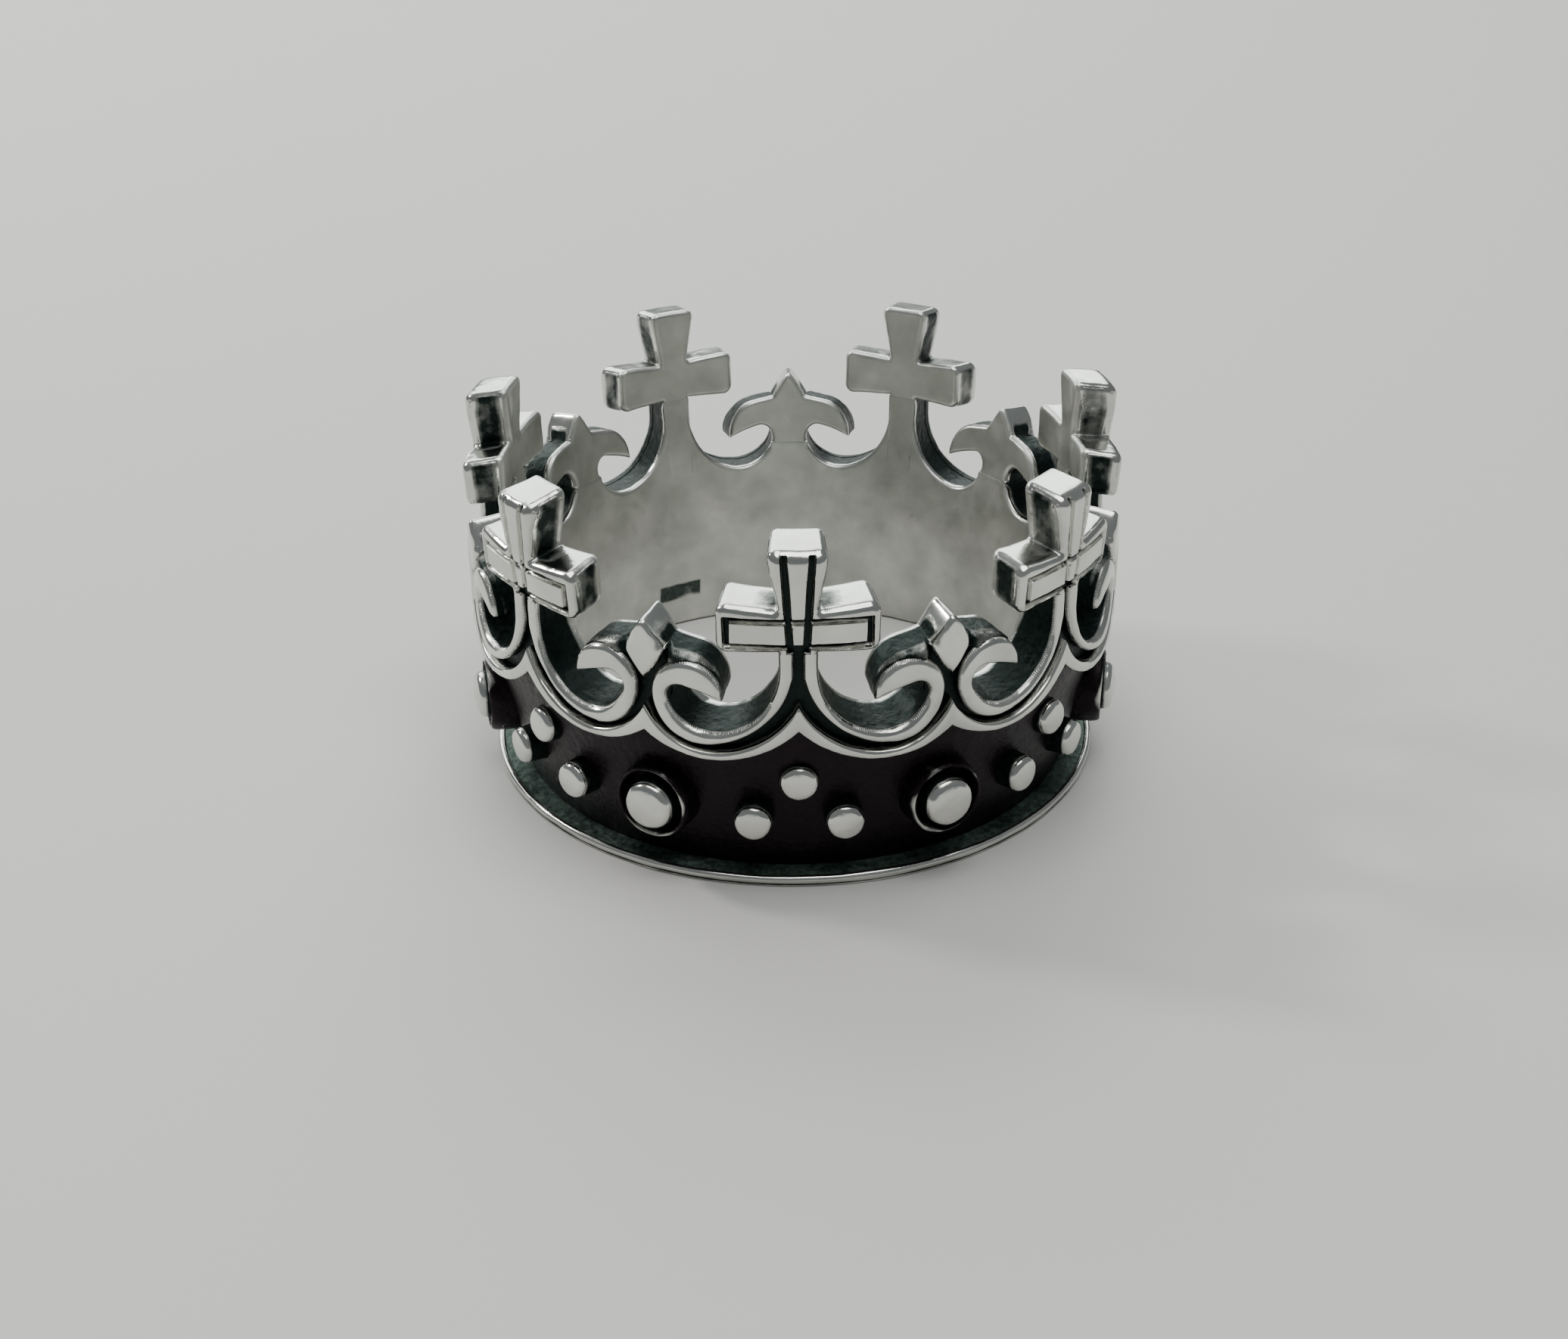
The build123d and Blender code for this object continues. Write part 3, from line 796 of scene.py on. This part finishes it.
def cross_outline():
    right = [(CROSS_NECK_HALF, STEM_TOP), (ARM_HALF_SPAN, ARM_END_FOOT), (ARM_HALF_SPAN, ARM_END_TOP),
             (CROSS_NECK_HALF, ARM_ROOT_TOP), (CROSS_TOP_HALF, TOP)]
    radii = [0, CROSS_CORNER, CROSS_CORNER, CROSS_CROOK, CROSS_CORNER]
    corners = right + [(-s, z) for s, z in reversed(right)]
    outline = rounded(corners, radii + radii[::-1])
    return joined(line_run([*outline, outline[0]], STEP)[:-1])


def cross_features():
    """Outlines of the raised bars and of the grooves round them."""
    top = TOP - 0.10
    wide, narrow = PALE_TOP_HALF + GROOVE_WIDTH, PALE_FOOT_HALF + GROOVE_WIDTH
    upright = [(-narrow, STEM_TOP - 0.1), (narrow, STEM_TOP - 0.1), (wide, top), (-wide, top)]
    pale = [(-PALE_FOOT_HALF, BAR_FOOT), (PALE_FOOT_HALF, BAR_FOOT),
            (PALE_TOP_HALF, TOP), (-PALE_TOP_HALF, TOP)]
    span = ARM_HALF_SPAN - CROSS_FRAME

    def level(margin):
        reach, low, high = span - GROOVE_WIDTH + margin, BAR_FOOT - margin, BAR_TOP + margin
        return [(-reach, low), (reach, low), (reach, high), (-reach, high)]

    return upright, pale, level(GROOVE_WIDTH), level(0)


def sunk_distance(points, features):
    """Distance to the grooves of a cross, negative inside them."""
    upright, pale, panel, bars = (signed(points, shape) for shape in features)
    return np.minimum(np.maximum(panel, -bars), np.maximum(upright, -pale))


def cross_face_r(z):
    """The cross's face leans outwards a little."""
    return CROSS_FOOT_R + (z - STEM_TOP) * CROSS_FACE_LEAN


def make_cross_plate():
    """Full-thickness cross with softly sunk grooves, so that its bars stand out."""
    outline = cross_outline()
    free = (outline[:, 1] > STEM_TOP + 1e-6) | (np.abs(outline[:, 0]) > CROSS_NECK_HALF - 1e-6)
    features = cross_features()
    soft = 0.035

    def on_side(line):
        return inside(line, outline) & (np.abs(sunk_distance(line, features)) < 2.4 * soft)

    rows = []
    for shape in features:
        rows += feature_rows(shape, (-2 * soft, -soft, 0.0, soft, 2 * soft), on_side)

    def front(points, gap):
        sunk = smooth_step(-sunk_distance(points, features), -soft, soft)
        face = cross_face_r(points[:, 1])
        worn = 0.24 + 0.14 * smooth_step(points[:, 1], TOP - 0.9, TOP - 0.2)
        return face - rounding(gap, worn) - GROOVE_DEPTH * sunk, 0.95 * sunk

    def back(points, gap):
        return inner_r(points[:, 1]) + rounding(gap, 0.20), np.full(len(points), 0.05)

    def wall(points, normals):
        # Painted highlight: walls that face up lose their patina and show bright silver, standing in for
        # light from above. The crooks under the head keep their oxide.
        from_crook = np.where(points[:, 1] < HEAD_FOOT, np.abs(points[:, 0]), ARM_HALF_SPAN)
        upward_sheen_clear_of_crooks = smooth_step(normals[:, 1], 0.45, 0.85) * smooth_step(from_crook, 0.8, 2.0)
        return 0.73 - 0.68 * upward_sheen_clear_of_crooks

    return Plate(outline, free, rows, front, back, wall, 8)


# Fleurs


def fleur_outline():
    """Both side petals and the tip, about the fleur's own axis."""
    under, back = arc_run(PETAL_UNDERSIDE), arc_run(PETAL_BACK)
    up = line_run([PETAL_BACK[0][-1], PETAL_SHOULDER, (FLEUR_S, FLEUR_TOP)])
    half = np.concatenate([under, back[1:], up[1:]]) - (FLEUR_S, 0)
    other = half[::-1].copy()
    other[:, 0] *= -1
    foot = line_run([other[-1], half[0]])
    outline = joined(half, other[1:], foot[1:-1])
    slope = (FLEUR_TOP - PETAL_SHOULDER[1]) / (FLEUR_S - PETAL_SHOULDER[0])
    from_tip = np.abs(outline[:, 0])
    blunting = slope * (np.hypot(from_tip, TIP_BLUNTING) - from_tip)
    outline[:, 1] -= np.where(outline[:, 1] > PETAL_SHOULDER[1], blunting, 0)
    return outline


def leaf_outline():
    """Raised middle leaf of a fleur, with bulging sides."""
    side = arc_run(([(0, PETAL_FOOT), (PETAL_HALF, PETAL_WAIST), (0, FLEUR_TOP)], 42))
    return joined(side, side[::-1] * (-1, 1))


def make_fleur_plate():
    """Full-thickness fleur: a sunk ground with a raised middle leaf and rising shoulders."""
    outline = fleur_outline()
    free = outline[:, 1] > NECK_TOP + 1e-6
    petal = leaf_outline()
    scroll = scroll_outline() - (FLEUR_S, 0)
    relief = RELIEF_R - GALLERY_R

    rows = feature_rows(petal, (-0.02, 0.0, 0.03, 0.08, 0.14), lambda line: inside(line, outline))

    def front(points, gap):
        depth = -signed(points, petal)
        mirrored = np.column_stack([-np.abs(points[:, 0]), points[:, 1]])
        under_strand = signed(mirrored, scroll)
        shoulder = smooth_step(np.abs(points[:, 0]), 0.62, 1.0) * smooth_step(under_strand, -0.10, 0.05)
        leaf = np.where(depth > 0, 1 - rounding(depth, 0.20) / relief, 0)
        height = GALLERY_R + (relief - SEAM) * np.maximum(0.9 * shoulder, leaf)
        patina = np.where(depth > 0, 0.5 * (1 - smooth_step(depth, 0.0, 0.1)), 1 - 0.35 * shoulder)
        height -= rounding(gap, 0.34 - 0.16 * smooth_step(points[:, 1], 8.9, 9.4))
        return height, patina * (1 - smooth_step(points[:, 1], 9.2, 9.6))

    def back(points, gap):
        return inner_r(points[:, 1]) + rounding(gap, 0.18), np.full(len(points), 0.05)

    def wall(points, _normals):
        return 0.98 - 0.83 * smooth_step(points[:, 1], 9.0, 9.5)

    return Plate(outline, free, rows, front, back, wall, 8)


# Studs


def lathe(section, azimuth, z, lean, sides=56, hollow=False):
    """Points and faces of a small turned piece whose axis points out of the band, closed at its ends."""
    points, faces = [], []
    rows = len(section)
    for k in range(sides):
        angle = 2 * math.pi * k / sides
        for radius, r, dark in section:
            points.append((radius * math.cos(angle), radius * math.sin(angle), r))
    for k in range(sides):
        after = (k + 1) % sides
        for j in range(rows if hollow else rows - 1):
            above = (j + 1) % rows
            faces.append((k * rows + j, after * rows + j, after * rows + above, k * rows + above))
    if not hollow:
        faces.append(tuple(k * rows for k in reversed(range(sides))))
        faces.append(tuple(k * rows + rows - 1 for k in range(sides)))
    points = np.array(points)
    tilt = Matrix.Rotation(lean[0], 3, "X") @ Matrix.Rotation(lean[1], 3, "Y")
    middle = points[:, 2].max()
    turned = (points - (0, 0, middle)) @ np.array(tilt).T + (0, 0, middle)
    outward = np.array((math.sin(azimuth), -math.cos(azimuth), 0))
    sideways = np.array((math.cos(azimuth), math.sin(azimuth), 0))
    upward = np.array((0, 0, 1))
    spots = turned[:, :1] * sideways + turned[:, 1:2] * upward + turned[:, 2:] * outward + upward * z
    return spots * MM, faces, np.tile([dark for _, _, dark in section], sides)


def stud_section(radius, root, face, edge, dome):
    """Side, rounded edge and slightly domed face of a stud."""
    section = [(radius * 1.06, root, 1.0), (radius * 1.02, (root + face) / 2, 0.95),
               (radius, face - edge - 0.05, 0.8)]
    for turn in (0, 15, 30, 45, 60, 75):
        angle = math.radians(turn)
        worn = 0.6 * (1 - turn / 30) if turn < 30 else 0.0
        section.append((radius - edge + edge * math.cos(angle), face - edge + edge * math.sin(angle), worn))
    for part in (0.8, 0.6, 0.4, 0.2, 0.06):
        section.append(((radius - edge) * part, face + dome * (1 - part * part), 0.0))
    return section


def collect(node, pieces, material, wear=0.0):
    """One mesh of several small turned pieces, standing for a CAD node. `wear` makes their patina uneven."""
    points, faces, patina, offset = [], [], [], 0
    for spots, quads, dark in pieces:
        points.append(spots)
        faces += [tuple(i + offset for i in face) for face in quads]
        patina.append(dark)
        offset += len(spots)
    points, patina = np.concatenate(points), np.concatenate(patina)
    patina = patina + wear * np.array([noise.noise(Vector(spot) / MM * 1.1) for spot in points])
    piece = make_piece(node + "_visual", points, faces, patina, 0.004 + 0.006 * patina, [material], sharp=60)
    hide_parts(node)


def lean_of(index):
    """A small lean for each stud, the same on every run."""
    spot = Vector((index * 3.7, 1.3, 0.4))
    return STUD_TILT * noise.noise(spot), STUD_TILT * noise.noise(spot + Vector((9, 5, 2)))


def collar_section(root):
    """Both sides of a collar and its lip, worn bright along the top."""
    outer, inner, lip = COLLAR_R, COLLAR_R - COLLAR_WALL, COLLAR_FACE
    return [(outer * 1.04, root, 1.0), (outer * 1.01, lip - 0.30, 1.0), (outer - 0.02, lip - 0.12, 0.8),
            (outer - 0.06, lip - 0.03, 0.60), (outer - 0.10, lip, 0.38), (outer - 0.14, lip - 0.02, 0.6),
            (inner + 0.01, lip - 0.10, 0.8), (inner - 0.02, root, 1.0)]


def make_studs():
    small, large, collars = [], [], []
    spread = math.radians(SMALL_SPREAD)
    for k in range(REPEATS):
        for offset, z in ((0, SMALL_UPPER_Z), (-spread, SMALL_LOWER_Z), (spread, SMALL_LOWER_Z)):
            root = float(field_r(z - SMALL_STUD_R)) - STUD_ROOT
            section = stud_section(SMALL_STUD_R - 0.01, root, SMALL_RIM, SMALL_EDGE, SMALL_DOME)
            small.append(lathe(section, k * PITCH + offset, z, lean_of(len(small))))
    root = float(field_r(LARGE_Z - COLLAR_R)) - STUD_ROOT
    for k in range(REPEATS):
        azimuth = (k + 0.5) * PITCH
        section = stud_section(LARGE_STUD_R, root, LARGE_RIM, LARGE_EDGE, LARGE_DOME)
        large.append(lathe(section, azimuth, LARGE_Z, lean_of(40 + k), 72))
        collars.append(lathe(collar_section(root), azimuth, LARGE_Z, lean_of(60 + k), 72, hollow=True))
    collect("small_studs", small, POLISHED)
    collect("large_studs", large, POLISHED)
    collect("stud_collars", collars, FIELD, wear=1.1)


# Floor, light and camera

FLOOR_REACH = 1.5            # metres
CAMERA_DISTANCE = 7.857      # in relief radii
CAMERA_HEIGHT = 29.55        # degrees above the floor's plane
CAMERA_TURN = -0.44          # degrees round the ring
CAMERA_RAISE = 1.10          # degrees that the view looks above its aim
CAMERA_ROLL = 0.59           # degrees
CAMERA_AIM = (-0.032, 0, 0.031)   # in relief radii
CAMERA_LENS = 55.9           # millimetres


def area_light(name, place, target, size, power, colour):
    data = bpy.data.lights.new(name, "AREA")
    data.shape = "RECTANGLE"
    data.size, data.size_y = size
    data.energy = power
    data.color = colour
    lamp = bpy.data.objects.new(name, data)
    lamp.location = place
    lamp.rotation_euler = (Vector(target) - Vector(place)).to_track_quat("-Z", "Y").to_euler()
    bpy.context.scene.collection.objects.link(lamp)


def make_stage():
    material, _, _, shader = new_material("Pale floor")
    shader.inputs["Base Color"].default_value = (0.60, 0.59, 0.575, 1)
    shader.inputs["Roughness"].default_value = 0.75
    mesh = bpy.data.meshes.new("floor")
    corners = [(-1, -1), (1, -1), (1, 1), (-1, 1)]
    mesh.from_pydata([(x * FLOOR_REACH, y * FLOOR_REACH, 0) for x, y in corners], [], [(0, 1, 2, 3)])
    mesh.materials.append(material)
    floor = bpy.data.objects.new("floor", mesh)
    bpy.context.scene.collection.objects.link(floor)

    world = bpy.data.worlds.new("Studio")
    bpy.context.scene.world = world
    world.use_nodes = True
    background = world.node_tree.nodes["Background"]
    background.inputs["Color"].default_value = (0.80, 0.86, 0.88, 1)
    background.inputs["Strength"].default_value = 0.25
    area_light("Softbox behind", (-0.05, 0.27, 0.19), (0, 0, 0.01), (0.36, 0.26), 1.0, (0.93, 1.0, 0.97))
    area_light("Softbox above", (0.03, -0.03, 0.36), (0, 0, 0), (0.26, 0.26), 1.0, (1.0, 1.0, 0.98))
    area_light("Lamp", (-0.20, 0.08, 0.16), (0, 0, 0.01), (0.035, 0.035), 0.28, (1.0, 0.98, 0.95))


def make_camera():
    size = RELIEF_R * MM
    turn = Matrix.Rotation(math.radians(CAMERA_TURN), 3, "Z")
    height = math.radians(CAMERA_HEIGHT)
    aim = turn @ (Vector(CAMERA_AIM) * size)
    out = turn @ Vector((0, -math.cos(height), math.sin(height)))
    right = turn @ Vector((1, 0, 0))
    up = out.cross(right)
    basis = Matrix((right, up, out)).transposed()
    raised = basis @ Matrix.Rotation(math.radians(CAMERA_RAISE), 3, "X")
    basis = raised @ Matrix.Rotation(math.radians(-CAMERA_ROLL), 3, "Z")
    data = bpy.data.cameras.new("Camera")
    data.lens = CAMERA_LENS
    data.sensor_width = 36
    data.clip_start = 0.001
    camera = bpy.data.objects.new("Camera", data)
    camera.matrix_world = Matrix.Translation(aim + out * CAMERA_DISTANCE * size) @ basis.to_4x4()
    bpy.context.scene.collection.objects.link(camera)
    bpy.context.scene.camera = camera


make_stage()
make_camera()
make_band()
make_border()
make_base_flange()
make_edge_wire()
make_studs()
cross_plate = make_cross_plate()
fleur_plate = make_fleur_plate()
scroll_plate = make_scroll_plate()
for k in range(REPEATS):
    at = k * PITCH
    cross_plate.place(f"cross_{k + 1}", at)
    fleur_plate.place(f"fleur_{k + 1}", at + PITCH / 2)
    scroll_plate.place(f"right_scroll_{k + 1}", at)
    scroll_plate.place(f"left_scroll_{k + 1}", at, mirrored=True)
